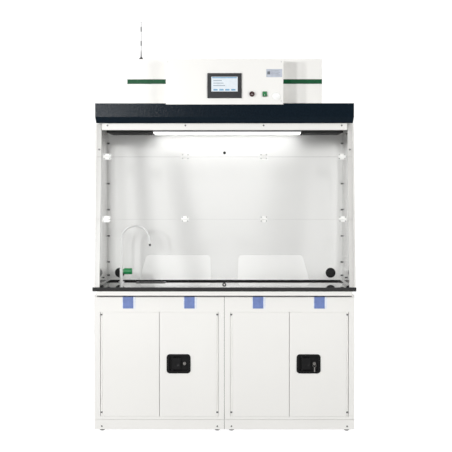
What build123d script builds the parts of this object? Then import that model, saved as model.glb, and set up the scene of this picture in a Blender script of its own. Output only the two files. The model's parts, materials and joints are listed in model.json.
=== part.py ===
from build123d import *
import math
import os

# Ductless fume hood on two base cabinets, as an assembly of separate pieces.
#
# Millimetres, +Z up, the front faces -Y and +X is to the right as seen from the front. The origin is on
# the floor, at the middle of the width and depth. A "setback" is a distance behind the worktop's front edge.

os.makedirs("parts", exist_ok=True)

# ---------------------------------------------------------------- driving dimensions
WIDTH = 1520.0            # worktop
DEPTH = 720.0             # worktop, front to back
FRONT = -DEPTH / 2        # y of the worktop's front edge

CABINET_WIDTH = 750.0
CABINET_GAP = 1.0         # half of the seam between the two cabinets
CABINET_BOTTOM = 12.0
CABINET_TOP = 786.0
CABINET_BACK = 690.0      # setback of the cabinets' rear face
PANEL = 18.0              # thickness of the folded cabinet panels
FRAME_SETBACK = 18.0      # front face of the cabinets' face frames
FRAME_DEPTH = 20.0
PLINTH_TOP = 70.0
PLINTH_GROOVE = 1.5       # shadow line along the plinth's upper edge
STILE = 32.5
FOOT_INSET = 41.0         # feet and hinge axes, from each cabinet's side
FOOT_SETBACKS = (62.0, 650.0)

DOOR_BOTTOM = 88.0
DOOR_TOP = 690.0
DOOR_SETBACK = 16.0
DOOR_DEPTH = 20.0
DOOR_SKIN = 1.5
DOOR_GAP = 0.6            # above and below each leaf
LEAF_GAP = 1.25           # each leaf stops this far short of the meeting line
BEAD_RADIUS = 6.5         # rolled hinge edge of a door
COLLAR_BOTTOM = 106.0     # lower collar's underside
COLLAR_TOP = 681.0        # upper collar's top
COLLAR = 10.0             # height of a pivot collar's ring
COLLAR_RADIUS = 5.5
COLLAR_GAP = 0.4
PIVOT_RADIUS = 3.0
PIN_REACH = 18.0          # how far a pivot pin runs into the bead beyond its collar
RUNNING_GAP = 0.05        # radial clearance of every running fit

LATCH_Z = 392.0
LATCH_OFFSET = 111.0      # latch centre, right of the leaves' meeting line
LATCH_WIDTH = 138.0
LATCH_HEIGHT = 111.0
PADDLE_WIDTH = 52.0
PADDLE_HEIGHT = 66.0
PADDLE_X = -15.0          # paddle centre, from the latch centre
LOCK_X = 34.0             # lock centre, from the latch centre
POCKET_FLOOR = 33.0       # setback of the latch pocket's floor

FRAME_TOP = 810.0         # white frame under the worktop
WORKTOP_TOP = 834.0
RIM_HEIGHT = 9.0
RIM_WIDTH = 10.0

LABEL_OFFSET = 177.0      # label cards, from a line near each cabinet's centre
LABEL_SHIFT = -3.0        # that line, from the cabinet's centre
LABEL_WIDTH = 72.0
LABEL_HEIGHT = 74.0
CARD_WIDTH = 60.0

TAP_X = -633.0
TAP_SETBACK = 522.0
TAP_BODY_TOP = 918.0
TAP_NUT_TOP = FRAME_TOP
TAP_NUT = 10.0            # height of the nut below the worktop
TAIL_RADIUS = 10.5
TAIL_BOTTOM = 720.0
HANDLE_Z = 902.0
HANDLE_RADIUS = 19.0
HANDLE_END = 66.0         # outer end of the handle, from the tap's axis
SPOUT_RADIUS = 6.5
ARCH_RADIUS = 84.5
ARCH_Z = 1094.0
SPOUT_FLARE = 8.0         # degrees by which the outlet leans outwards
OUTLET_Z = 1056.0         # lower end of the nozzle
NOZZLE = 13.0             # its length
SINK_X = -452.0
SINK_WIDTH = 180.0
SINK_DEPTH = 150.0

HOOD_HALF = 758.0         # outer face of the hood's sides
SIDE_INNER = 727.0        # inner face of the side frames
PANE = 5.0                # side window panes, on the frames' inner faces
HOOD_TOP = 1786.0
BACK_INNER = 650.0        # setback of the back wall's front face
HOOD_BACK = 716.0
SASH_SETBACK = 15.0       # sash front face, level with the worktop
LEAN = math.degrees(math.atan2(155.0, 907.0))
SASH = 8.0                # acrylic thickness
POST_INNER = 722.0        # inner edge of the posts, which the sash overlaps
POST_DEPTH = 35.0
SASH_HALF = 748.0
POST_SCREW_X = 733.0
HEADER_HALF = 718.0
HEADER_BOTTOM = 1746.0
GROMMET_X = 652.0
GROMMET_Z = 887.0
LOWER_SEAM_Z = 1226.0
UPPER_SEAM_Z = 1590.0

HINGE_X = (-686.0, -229.0, 229.0, 686.0)
LEAF_WIDTH = 44.0
LEAF_HEIGHT = 17.5
LEAF_THICKNESS = 2.0
LEAF_SCREW_X = 16.0       # screw holes, from the leaf's middle and from the seam
LEAF_SCREW_Z = 11.7
KNUCKLE_RADIUS = 3.9
PIN_RADIUS = 1.5
PIN_OUT = 4.0             # hinge pin axis, in front of the sash face

KNOB_Z = 848.0
CATCH_Z = 1612.0

PORT_BOTTOM = 842.0
PORT_TOP = 1022.0

FASCIA_HALF = 756.0
FASCIA_TUCK = 5.0         # how far the fascia's ends slope in towards the bottom
FASCIA_TOP = 1902.0
FASCIA_CREASE = 1822.0
FASCIA_SETBACK = 145.0

HOUSING_HALF = 575.0
HOUSING_FRONT = 250.0
HOUSING_TOP = 2170.0
STRIPE_Z = (2023.0, 2050.0)

CONTROL_HALF = 343.0
CONTROL_TOP = 2155.0
CONTROL_BOTTOM = 1903.0
COVER_FACE = 140.0        # setback of the control cover's front face
COVER = 4.0
COVER_BOTTOM = 1895.0
HMI_Z = 2004.0
SCREEN_X = (-77.0, 77.0)
SCREEN_Z = (1970.0, 2056.0)

ANTENNA_X = -496.5
ANTENNA_SETBACK = 300.0
ANTENNA_TOP = 2395.0

LAMP_X = (-420.0, 450.0)
LAMP_FRONT = 196.0        # setbacks of the lamp's front and of its diffuser's rear edge
LAMP_BACK = 420.0
LAMP_Z = 1737.0           # top of the diffuser
LAMP_DIFFUSER = 8.0

FAN_SETBACK = 480.0
FAN_RADIUS = 130.0


# ---------------------------------------------------------------- helpers
def at(setback):
    """The y of a setback."""
    return FRONT + setback


def slab(x, setback, z):
    """A box from (low, high) pairs in x, setback and z."""
    size = [abs(pair[1] - pair[0]) for pair in (x, setback, z)]
    middle = (sum(x) / 2, at(sum(setback) / 2), sum(z) / 2)
    return Pos(*middle) * Box(*size)


def rounded_slab(x, setback, z, radius):
    """A box whose outline, seen from the front, has round corners."""
    body = slab(x, setback, z)
    return fillet(body.edges().filter_by(Axis.Y), radius)


def upright(x, setback, z, radius):
    """A vertical cylinder between two heights."""
    height = z[1] - z[0]
    return Pos(x, at(setback), sum(z) / 2) * Cylinder(radius, height)


def across(x, setback, z, radius):
    """A cylinder along X between two x values."""
    length = x[1] - x[0]
    return Pos(sum(x) / 2, at(setback), z) * Rot(0, 90, 0) * Cylinder(radius, length)


def inward(x, setback, z, radius):
    """A cylinder along Y between two setbacks."""
    length = setback[1] - setback[0]
    return Pos(x, at(sum(setback) / 2), z) * Rot(90, 0, 0) * Cylinder(radius, length)


def mirrored(part):
    """The same piece on the other side of the hood."""
    return mirror(part, Plane.YZ)


def save(node, *pieces):
    """Writes one node, with each piece as a solid of its own."""
    solids = [solid for piece in pieces for solid in piece.solids()]
    shape = solids[0] if len(solids) == 1 else Compound(children=solids)
    shape.label = node
    export_step(shape, f"parts/{node}.step")


# The sash plane: x as usual, y from its front face into the hood, z up the slope from the worktop.
SLOPE = Pos(0, at(SASH_SETBACK), WORKTOP_TOP) * Rot(-LEAN, 0, 0)


def up_slope(z):
    """The distance up the slope at which the sash face reaches a height."""
    return (z - WORKTOP_TOP) / math.cos(math.radians(LEAN))


def slope_box(x, depth, height):
    """A box in the sash plane's own directions."""
    size = [abs(pair[1] - pair[0]) for pair in (x, depth, height)]
    middle = [sum(pair) / 2 for pair in (x, depth, height)]
    return SLOPE * Pos(*middle) * Box(*size)


def sloped_setback(z, depth=0.0):
    """Setback at a height of a plane that lies this deep behind the sash's front face."""
    angle = math.radians(LEAN)
    return SASH_SETBACK + (z - WORKTOP_TOP) * math.tan(angle) + depth / math.cos(angle)


# ---------------------------------------------------------------- base cabinets
def carcass(low_x):
    """Sides, floor, back, stretchers, face frame, plinth and shelf of one cabinet."""
    high_x = low_x + CABINET_WIDTH - CABINET_GAP
    inner = (low_x + PANEL, high_x - PANEL)
    frame = (FRAME_SETBACK, FRAME_SETBACK + FRAME_DEPTH)
    deep = (frame[1], CABINET_BACK)
    tall = (CABINET_BOTTOM, CABINET_TOP)
    opening = (low_x + STILE, high_x - STILE)
    stretcher = (CABINET_TOP - 20.0, CABINET_TOP)
    shelf = (380.0, 380.0 + PANEL)
    sill = DOOR_BOTTOM - DOOR_GAP
    plinth = slab((low_x, high_x), (frame[0] + 1.5, frame[1]), (CABINET_BOTTOM, PLINTH_TOP))
    groove_z = (PLINTH_TOP - PLINTH_GROOVE, PLINTH_TOP + 1.0)
    plinth -= slab((low_x - 1.0, high_x + 1.0), (frame[0], frame[0] + 6.0), groove_z)
    return [
        slab((low_x, inner[0]), deep, tall),
        slab((inner[1], high_x), deep, tall),
        slab(inner, (frame[1], CABINET_BACK - 12.0), (sill - PANEL, sill)),
        slab(inner, (CABINET_BACK - 12.0, CABINET_BACK), tall),
        slab(inner, (frame[1], frame[1] + 60.0), stretcher),
        slab(inner, (CABINET_BACK - 62.0, CABINET_BACK - 12.0), stretcher),
        slab((low_x, opening[0]), frame, (PLINTH_TOP, CABINET_TOP)),
        slab((opening[1], high_x), frame, (PLINTH_TOP, CABINET_TOP)),
        slab(opening, frame, (PLINTH_TOP, sill)),
        slab(opening, frame, (DOOR_TOP + DOOR_GAP, CABINET_TOP)),
        plinth,
        slab(inner, (60.0, CABINET_BACK - 12.0), shelf),
    ]


def foot(x, setback):
    """A levelling foot: a pad that widens upwards, a hexagon nut and a threaded stem."""
    stem_top = DOOR_BOTTOM - DOOR_GAP - PANEL
    profile = Polyline(
        (0, 0), (9, 0), (14, 3.5), (17.5, 9), (17.5, 11.5), (6, 12.5), (5, 12.5),
        (5, stem_top), (0, stem_top),
        close=True,
    )
    body = revolve(Plane.XZ * make_face(profile), Axis.Z)
    nut = Pos(0, 0, 13.5) * extrude(RegularPolygon(9.5, 6), 6)
    return Pos(x, at(setback), 0) * (body + nut)


HINGE_AXES = [
    -CABINET_WIDTH + FOOT_INSET,
    -FOOT_INSET,
    FOOT_INSET,
    CABINET_WIDTH - FOOT_INSET,
]
MEETING_LINES = (-CABINET_WIDTH / 2, CABINET_WIDTH / 2)
AXIS_SETBACK = DOOR_SETBACK + BEAD_RADIUS


def door(hinge_x, meeting_x, latch_x=None):
    """A folded steel pan, open at the back, with a rolled hinge edge bored for its two pivot pins."""
    side = 1.0 if meeting_x > hinge_x else -1.0
    near = hinge_x + side * 5.0
    far = meeting_x - side * LEAF_GAP
    x = tuple(sorted((near, far)))
    depth = (DOOR_SETBACK, DOOR_SETBACK + DOOR_DEPTH)
    pan = slab(x, depth, (DOOR_BOTTOM, DOOR_TOP))
    hollow = slab(
        (x[0] + DOOR_SKIN, x[1] - DOOR_SKIN),
        (depth[0] + DOOR_SKIN, depth[1]),
        (DOOR_BOTTOM + DOOR_SKIN, DOOR_TOP - DOOR_SKIN),
    )
    leaf = pan - hollow
    for z in (DOOR_BOTTOM + 100.0, DOOR_TOP - 100.0):
        leaf += slab(x, (depth[0] + DOOR_SKIN, depth[0] + 10.0), (z - 25.0, z + 25.0))
    leaf += upright(hinge_x, AXIS_SETBACK, (DOOR_BOTTOM, DOOR_TOP), BEAD_RADIUS)
    for low in (COLLAR_BOTTOM, COLLAR_TOP - COLLAR):
        leaf -= upright(hinge_x, AXIS_SETBACK, (low, low + COLLAR), BEAD_RADIUS + 1.0)
    bores = (
        (DOOR_BOTTOM - 1.0, COLLAR_BOTTOM + COLLAR + PIN_REACH + 2.0),
        (COLLAR_TOP - COLLAR - PIN_REACH - 2.0, DOOR_TOP + 1.0),
    )
    for bore in bores:
        leaf -= upright(hinge_x, AXIS_SETBACK, bore, PIVOT_RADIUS + RUNNING_GAP)
    if latch_x is not None:
        cut = (LATCH_WIDTH / 2 - 7.0, LATCH_HEIGHT / 2 - 7.0)
        leaf -= slab(
            (latch_x - cut[0], latch_x + cut[0]),
            (depth[0] - 1.0, depth[0] + 5.0),
            (LATCH_Z - cut[1], LATCH_Z + cut[1]),
        )
    return leaf


def pivot_pins(hinge_x):
    """The two pins that a door turns on, each with a collar in a gap of the rolled edge."""
    spans = (
        (COLLAR_TOP - COLLAR, (COLLAR_TOP - COLLAR - PIN_REACH, DOOR_TOP + DOOR_GAP)),
        (COLLAR_BOTTOM, (DOOR_BOTTOM - DOOR_GAP, COLLAR_BOTTOM + COLLAR + PIN_REACH)),
    )
    pins = []
    for low, reach in spans:
        pin = upright(hinge_x, AXIS_SETBACK, reach, PIVOT_RADIUS)
        pin += upright(hinge_x, AXIS_SETBACK, (low + COLLAR_GAP, low + COLLAR - COLLAR_GAP), COLLAR_RADIUS)
        pins.append(pin)
    return pins


# ---------------------------------------------------------------- door latches
def latch_housing(latch_x):
    """A flanged tray with a pocket, slots for the paddle's pin and a boss bored for the lock."""
    half = (LATCH_WIDTH / 2, LATCH_HEIGHT / 2)
    body = rounded_slab(
        (latch_x - half[0], latch_x + half[0]),
        (DOOR_SETBACK - 3.0, DOOR_SETBACK),
        (LATCH_Z - half[1], LATCH_Z + half[1]),
        19.0,
    )
    body += rounded_slab(
        (latch_x - half[0] + 8.0, latch_x + half[0] - 8.0),
        (DOOR_SETBACK - 1.0, POCKET_FLOOR + 3.0),
        (LATCH_Z - half[1] + 8.0, LATCH_Z + half[1] - 8.0),
        13.0,
    )
    body -= rounded_slab(
        (latch_x - half[0] + 12.0, latch_x + half[0] - 12.0),
        (DOOR_SETBACK - 4.0, POCKET_FLOOR),
        (LATCH_Z - half[1] + 12.0, LATCH_Z + half[1] - 12.0),
        10.0,
    )
    body += inward(latch_x + LOCK_X, (POCKET_FLOOR - 6.0, POCKET_FLOOR + 14.0), LATCH_Z, 11.5)
    body -= inward(latch_x + LOCK_X, (POCKET_FLOOR - 7.0, POCKET_FLOOR + 15.0), LATCH_Z, 9.0 + RUNNING_GAP)
    pin_x = latch_x + PADDLE_X - PADDLE_WIDTH / 2 + 4.0
    reach = PADDLE_HEIGHT / 2
    for low, high in ((-reach - 11.0, -reach - 1.0), (reach + 1.0, reach + 11.0)):
        ear = slab((pin_x - 5.0, pin_x + 5.0), (16.0, POCKET_FLOOR), (LATCH_Z + low, LATCH_Z + high))
        body += ear
    body -= upright(pin_x, 21.0, (LATCH_Z - reach - 8.0, LATCH_Z + reach + 8.0), 2.0 + RUNNING_GAP)
    return body


def latch_paddle(latch_x):
    """The pull plate, turning on a pin at its left edge."""
    x = (latch_x + PADDLE_X - PADDLE_WIDTH / 2, latch_x + PADDLE_X + PADDLE_WIDTH / 2)
    half = PADDLE_HEIGHT / 2
    pin_x = x[0] + 4.0
    plate = rounded_slab((pin_x, x[1]), (14.5, 19.5), (LATCH_Z - half, LATCH_Z + half), 2.4)
    lip = slab((x[1] - 4.0, x[1]), (17.0, 26.0), (LATCH_Z - half + 4.0, LATCH_Z + half - 4.0))
    barrel = upright(pin_x, 21.0, (LATCH_Z - half, LATCH_Z + half), 4.0)
    pin = upright(pin_x, 21.0, (LATCH_Z - half - 7.5, LATCH_Z + half + 7.5), 2.0)
    dish = Pos((x[0] + x[1]) / 2 + 6.0, at(14.5 - 58.0), LATCH_Z) * Sphere(60.0)
    return (plate - dish) + lip + barrel + pin


def latch_bolt(latch_x, meeting_x):
    """The flat bolt that slides on the back of the housing to the leaf's edge."""
    x = (meeting_x + LEAF_GAP, latch_x - 25.0)
    bolt = slab(x, (DOOR_SETBACK + DOOR_DEPTH + 0.5, 44.0), (LATCH_Z - 11.0, LATCH_Z + 11.0))
    nose = bolt.edges().filter_by(Axis.Z).sort_by(Axis.X)[0:2].sort_by(Axis.Y)[-1:]
    return chamfer(nose, 6.0)


def lock_and_key(latch_x, with_ring):
    """The lock's plug with a key in it; the right one carries a ring and a tag."""
    x = latch_x + LOCK_X
    face = POCKET_FLOOR - 6.5
    plug = inward(x, (face, POCKET_FLOOR + 12.0), LATCH_Z, 9.0)
    shank = slab((x - 1.2, x + 1.2), (face - 8.0, face), (LATCH_Z - 4.0, LATCH_Z + 4.0))
    bow_centre = Pos(x, at(face - 14.5), LATCH_Z)
    bow = bow_centre * Rot(0, 90, 0) * Cylinder(10.0, 2.4)
    bow -= bow_centre * Pos(0, -4.5, 0) * Rot(0, 90, 0) * Cylinder(2.6, 4.0)
    pieces = [plug + shank + bow]
    if with_ring:
        ring_centre = Pos(x, at(face - 19.0), LATCH_Z - 9.5)
        ring = ring_centre * Rot(90, 0, 0) * Torus(9.5, 0.8)
        tag_z = (LATCH_Z - 46.0, LATCH_Z - 19.9)
        tag = rounded_slab((x - 3.0, x + 3.0), (face - 19.8, face - 18.2), tag_z, 2.0)
        pieces.extend([ring, tag])
    return pieces


# ---------------------------------------------------------------- worktop, sink and tap
def worktop_frame():
    """Four white bars between the cabinets and the worktop."""
    z = (CABINET_TOP, FRAME_TOP)
    half = 737.0
    bar = 60.0
    return [
        slab((-half, half), (4.0, 4.0 + bar), z),
        slab((-half, half), (CABINET_BACK - bar, CABINET_BACK), z),
        slab((-half, -half + bar), (4.0 + bar, CABINET_BACK - bar), z),
        slab((half - bar, half), (4.0 + bar, CABINET_BACK - bar), z),
    ]


def sink_outline(margin, z):
    """A rounded block around the sink's centre, smaller than its flange by a margin."""
    x = (SINK_X - SINK_WIDTH / 2 + margin, SINK_X + SINK_WIDTH / 2 - margin)
    setback = (TAP_SETBACK - SINK_DEPTH / 2 + margin, TAP_SETBACK + SINK_DEPTH / 2 - margin)
    block = slab(x, setback, z)
    return fillet(block.edges().filter_by(Axis.Z), 28.0 - margin)


def worktop():
    """The slab with its raised rim, sink cut-out and tap hole."""
    top = slab((-WIDTH / 2, WIDTH / 2), (0, DEPTH), (FRAME_TOP, WORKTOP_TOP))
    lower_edges = top.faces().sort_by(Axis.Z)[0].edges().filter_by(Axis.X).sort_by(Axis.Y)[0:1]
    top = chamfer(lower_edges, 8.0)
    side = SIDE_INNER - PANE - 0.5
    rim_z = (WORKTOP_TOP, WORKTOP_TOP + RIM_HEIGHT)
    top += slab((-side, side), (BACK_INNER - RIM_WIDTH, BACK_INNER - 0.5), rim_z)
    for low, high in ((-side, -side + RIM_WIDTH), (side - RIM_WIDTH, side)):
        top += slab((low, high), (45.0, BACK_INNER - 0.5), rim_z)
    top -= sink_outline(9.0, (FRAME_TOP - 1.0, WORKTOP_TOP + 1.0))
    top -= upright(TAP_X, TAP_SETBACK, (FRAME_TOP - 1.0, WORKTOP_TOP + 1.0), 11.0)
    return top


def cup_sink():
    """A flanged bowl with a drain tail, and a strainer in its floor."""
    floor = 690.0
    bowl = sink_outline(0.0, (WORKTOP_TOP, WORKTOP_TOP + 3.0)) + sink_outline(10.0, (floor, WORKTOP_TOP))
    bowl -= sink_outline(14.0, (floor + 4.0, WORKTOP_TOP + 4.0))
    bowl += upright(SINK_X, TAP_SETBACK, (620.0, floor), 20.0)
    bowl -= upright(SINK_X, TAP_SETBACK, (619.0, floor + 5.0), 16.0)
    strainer = upright(SINK_X, TAP_SETBACK, (floor, floor + 3.0), 16.0)
    for turn in range(6):
        spot = Pos(SINK_X, at(TAP_SETBACK), floor) * Rot(0, 0, 60.0 * turn) * Pos(9.0, 0, 0)
        strainer -= spot * Cylinder(2.5, 10.0)
    return [bowl, strainer]


def tap_body():
    """Flange, pillar with a side boss, and a threaded shank with its nut and tail below the worktop."""
    pillar = upright(TAP_X, TAP_SETBACK, (WORKTOP_TOP, WORKTOP_TOP + 6.0), 17.0)
    pillar += upright(TAP_X, TAP_SETBACK, (TAP_NUT_TOP - TAP_NUT, TAP_BODY_TOP), 10.0)
    pillar += across((TAP_X, TAP_X + 11.5), TAP_SETBACK, HANDLE_Z, 7.5)
    pillar += upright(TAP_X, TAP_SETBACK, (TAIL_BOTTOM, TAP_NUT_TOP - TAP_NUT), TAIL_RADIUS)
    pillar -= upright(TAP_X, TAP_SETBACK, (TAP_BODY_TOP - 14.0, TAP_BODY_TOP + 1.0), 4.5 + RUNNING_GAP)
    pillar -= across((TAP_X + 5.0, TAP_X + 12.5), TAP_SETBACK, HANDLE_Z, 3.0 + RUNNING_GAP)
    nut = Pos(TAP_X, at(TAP_SETBACK), TAP_NUT_TOP - TAP_NUT) * extrude(RegularPolygon(19.0, 6), TAP_NUT)
    nut -= upright(TAP_X, TAP_SETBACK, (TAP_NUT_TOP - TAP_NUT - 1.0, TAP_NUT_TOP + 1.0), 10.0)
    return [pillar, nut]


FOOT_OF_SPOUT = TAP_BODY_TOP + 0.3


def arch_end():
    """Where the arch ends and the outlet's lean begins: x from the tap's axis, and z."""
    flare = math.radians(SPOUT_FLARE)
    return ARCH_RADIUS * (1.0 + math.cos(flare)), ARCH_Z + ARCH_RADIUS * math.sin(flare)


def outlet_point(z):
    """The point at a height on the outlet's leaning axis: x from the tap's axis, and z."""
    x, end_z = arch_end()
    return x + (end_z - z) * math.tan(math.radians(SPOUT_FLARE)), z


def outlet_pipe(low, high, radius):
    """A cylinder on the outlet's axis between two heights."""
    length = (high - low) / math.cos(math.radians(SPOUT_FLARE))
    x, z = outlet_point((low + high) / 2)
    return Pos(TAP_X + x, at(TAP_SETBACK), z) * Rot(0, -SPOUT_FLARE, 0) * Cylinder(radius, length)


def tap_spout():
    """A riser, an arch and a leaning outlet, swivelling on a spigot in the pillar."""
    path = Line((0, FOOT_OF_SPOUT), (0, ARCH_Z))
    path += CenterArc((ARCH_RADIUS, ARCH_Z), ARCH_RADIUS, 180.0, SPOUT_FLARE - 180.0)
    path += Line(arch_end(), outlet_point(OUTLET_Z + NOZZLE))
    pipe = sweep(Plane.XY.offset(FOOT_OF_SPOUT) * Circle(SPOUT_RADIUS), path=Plane.XZ * path)
    collar = upright(TAP_X, TAP_SETBACK, (FOOT_OF_SPOUT, TAP_BODY_TOP + 9.0), 8.0)
    spigot = upright(TAP_X, TAP_SETBACK, (TAP_BODY_TOP - 12.0, TAP_BODY_TOP + 1.0), 4.5)
    return Pos(TAP_X, at(TAP_SETBACK), 0) * pipe + collar + spigot


def tap_nozzle():
    """The outlet's black end, with a bored mouth."""
    end = outlet_pipe(OUTLET_Z, OUTLET_Z + NOZZLE - 0.2, SPOUT_RADIUS - 0.3)
    return end - outlet_pipe(OUTLET_Z - 1.0, OUTLET_Z + NOZZLE - 4.0, SPOUT_RADIUS - 2.3)


def tap_handle():
    """A fluted knob on a stem that turns in the pillar's boss."""
    x = TAP_X + 12.0
    end = TAP_X + HANDLE_END
    stem = across((TAP_X + 6.0, x + 2.0), TAP_SETBACK, HANDLE_Z, 3.0)
    neck = across((x, x + 10.0), TAP_SETBACK, HANDLE_Z, 13.0)
    knob = across((x + 5.0, end), TAP_SETBACK, HANDLE_Z, HANDLE_RADIUS)
    knob = fillet(knob.edges().filter_by(GeomType.CIRCLE), 4.0)
    flute_count = 8
    flute_circle = HANDLE_RADIUS + 2.0
    for turn in range(flute_count):
        angle = math.tau * turn / flute_count
        setback = TAP_SETBACK + flute_circle * math.cos(angle)
        knob -= across((x + 12.0, end + 1.0), setback, HANDLE_Z + flute_circle * math.sin(angle), 3.8)
    return stem + neck + knob


# ---------------------------------------------------------------- hood body
def side_frame():
    """The right side: a folded frame around a round-cornered window, behind the front post."""
    outline = Polyline(
        (at(sloped_setback(WORKTOP_TOP, POST_DEPTH)), WORKTOP_TOP),
        (at(HOOD_BACK), WORKTOP_TOP),
        (at(HOOD_BACK), HOOD_TOP),
        (at(sloped_setback(HOOD_TOP, POST_DEPTH)), HOOD_TOP),
        close=True,
    )
    frame = Pos(SIDE_INNER, 0, 0) * extrude(Plane.YZ * make_face(outline), HOOD_HALF - SIDE_INNER)
    window = Polyline(
        (at(sloped_setback(900.0, POST_DEPTH + 50.0)), 900.0),
        (at(600.0), 900.0),
        (at(600.0), 1700.0),
        (at(sloped_setback(1700.0, POST_DEPTH + 50.0)), 1700.0),
        close=True,
    )
    hole = Pos(SIDE_INNER - 1.0, 0, 0) * extrude(Plane.YZ * make_face(window), HOOD_HALF - SIDE_INNER + 2.0)
    hole = fillet(hole.edges().filter_by(Axis.X), 55.0)
    return frame - hole


def side_pane():
    """The right window pane, on the inner face of the side frame."""
    top = HEADER_BOTTOM - 12.0
    outline = Polyline(
        (at(sloped_setback(WORKTOP_TOP + 3.0, POST_DEPTH + 3.0)), WORKTOP_TOP + 3.0),
        (at(BACK_INNER - 1.0), WORKTOP_TOP + 3.0),
        (at(BACK_INNER - 1.0), top),
        (at(sloped_setback(top, POST_DEPTH + 3.0)), top),
        close=True,
    )
    return Pos(SIDE_INNER - PANE, 0, 0) * extrude(Plane.YZ * make_face(outline), PANE)


def front_post():
    """The right post, which the sash overlaps."""
    long = up_slope(HOOD_TOP) + 60.0
    post = slope_box((POST_INNER, HOOD_HALF), (SASH + 0.5, POST_DEPTH), (-60.0, long))
    return post & slab((POST_INNER - 5.0, HOOD_HALF + 5.0), (-50.0, 500.0), (WORKTOP_TOP, HOOD_TOP))


def back_wall():
    """The chamber's liner and the outer back panel, each with two cable holes."""
    liner = slab((-SIDE_INNER, SIDE_INNER), (BACK_INNER, BACK_INNER + 6.0), (WORKTOP_TOP, HOOD_TOP))
    rear = slab((-SIDE_INNER, SIDE_INNER), (HOOD_BACK - 6.0, HOOD_BACK), (WORKTOP_TOP, HOOD_TOP))
    for x in (-GROMMET_X, GROMMET_X):
        liner -= inward(x, (BACK_INNER - 1.0, BACK_INNER + 7.0), GROMMET_Z, 26.0)
        rear -= inward(x, (HOOD_BACK - 7.0, HOOD_BACK + 1.0), GROMMET_Z, 26.0)
    return [liner, rear]


def grommet(x):
    """A capped cable sleeve through both skins of the back."""
    sleeve = inward(x, (BACK_INNER - 3.0, BACK_INNER), GROMMET_Z, 30.5)
    sleeve = fillet(sleeve.edges().filter_by(GeomType.CIRCLE).sort_by(Axis.Y)[0:1], 1.5)
    sleeve += inward(x, (BACK_INNER - 1.0, HOOD_BACK + 2.0), GROMMET_Z, 25.5)
    sleeve -= inward(x, (BACK_INNER + 3.0, HOOD_BACK + 3.0), GROMMET_Z, 22.5)
    return sleeve


def header_rail():
    """The white bar across the top of the sash, in front of the fixed panel."""
    height = (up_slope(HEADER_BOTTOM), up_slope(HOOD_TOP) + 30.0)
    bar = slope_box((-HEADER_HALF, HEADER_HALF), (-8.0, -0.3), height)
    return bar & slab((-WIDTH, WIDTH), (0.0, 400.0), (HEADER_BOTTOM - 5.0, HOOD_TOP))


def plenum_deck():
    """The chamber's ceiling with its intake, and the walls and top of the plenum above it."""
    front = sloped_setback(HOOD_TOP, POST_DEPTH)
    deck_top = HOOD_TOP + 12.0
    half = HOOD_HALF - 8.0
    deck = slab((-half, half), (front, HOOD_BACK), (HOOD_TOP, deck_top))
    deck -= slab((-660.0, 660.0), (290.0, 590.0), (HOOD_TOP - 1.0, deck_top + 1.0))
    top = slab((-half, half), (front, HOOD_BACK), (FASCIA_TOP - 12.0, FASCIA_TOP))
    top -= slab((-540.0, 540.0), (300.0, 660.0), (FASCIA_TOP - 13.0, FASCIA_TOP + 1.0))
    walls = (deck_top, FASCIA_TOP - 12.0)
    return [
        deck,
        top,
        slab((-half, -half + 12.0), (front, HOOD_BACK), walls),
        slab((half - 12.0, half), (front, HOOD_BACK), walls),
        slab((-half + 12.0, half - 12.0), (HOOD_BACK - 12.0, HOOD_BACK), walls),
    ]


def fascia():
    """The navy cap: a front face over a chamfered lower face, with returns along both sides."""
    half = FASCIA_HALF
    skin = 3.0
    rear = sloped_setback(HOOD_TOP, POST_DEPTH) - 4.0

    def profile(inset):
        top = FASCIA_TOP - inset
        points = [
            (at(FASCIA_SETBACK + inset), top),
            (at(FASCIA_SETBACK + inset), FASCIA_CREASE),
            (at(FASCIA_SETBACK + 14.0 + inset), HOOD_TOP + 0.5),
            (at(rear), HOOD_TOP + 0.5),
            (at(rear), top),
        ]
        return Polyline(*points, close=True)

    def block(inset):
        width = 2 * (half - inset)
        body = extrude(Plane.YZ * make_face(profile(inset)), width)
        return Pos(-width / 2, 0, 0) * body

    shell = block(0.0) - block(skin)
    shell -= slab((-half + skin, half - skin), (rear - 20.0, rear + 5.0), (HOOD_TOP - 5.0, FASCIA_TOP - skin))
    for side in (-1.0, 1.0):
        wedge = Polyline(
            (side * half, FASCIA_CREASE),
            (side * (half + 5.0), HOOD_TOP),
            (side * (half - FASCIA_TUCK), HOOD_TOP),
            close=True,
        )
        cut = extrude(Plane.XZ * make_face(wedge), 400.0, both=True)
        shell -= cut
    return shell


def dome_screw(radius, height):
    """A round screw head with a cross-shaped socket, standing up +Z from the origin."""
    head = Cylinder(radius, height, align=(Align.CENTER, Align.CENTER, Align.MIN))
    head = fillet(head.edges().sort_by(Axis.Z)[-1:], 0.35 * radius)
    for turn in (0.0, 90.0):
        head -= Pos(0, 0, height) * Rot(0, 0, turn) * Box(radius * 1.1, radius * 0.3, radius * 0.5)
    return head


def panel_screws():
    """Header, post, pane and plinth screws, all of one kind."""
    to_front = Rot(90, 0, 0)
    pieces = []
    for x in HINGE_X:
        pieces.append(SLOPE * Pos(x, -8.0, up_slope(1772.0)) * to_front * dome_screw(5.0, 2.5))
    for x in (-POST_SCREW_X, POST_SCREW_X):
        pieces.append(SLOPE * Pos(x, 0, up_slope(1632.0)) * to_front * dome_screw(5.0, 2.5))
    for x in HINGE_AXES:
        pieces.append(Pos(x, at(FRAME_SETBACK + 1.5), 30.0) * to_front * dome_screw(4.5, 2.5))
    pane_screws = [(635.0, z) for z in (1686.0, 1438.0, 1277.0, 1115.0, 954.0, 872.0)] + [(261.0, 877.0)]
    for setback, z in pane_screws:
        right = Pos(SIDE_INNER - PANE, at(setback), z) * Rot(0, -90, 0) * dome_screw(4.5, 9.0)
        pieces.extend([right, mirrored(right)])
    return pieces


# ---------------------------------------------------------------- sash
SEAMS = {"lower": up_slope(LOWER_SEAM_Z), "upper": up_slope(UPPER_SEAM_Z)}


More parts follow.
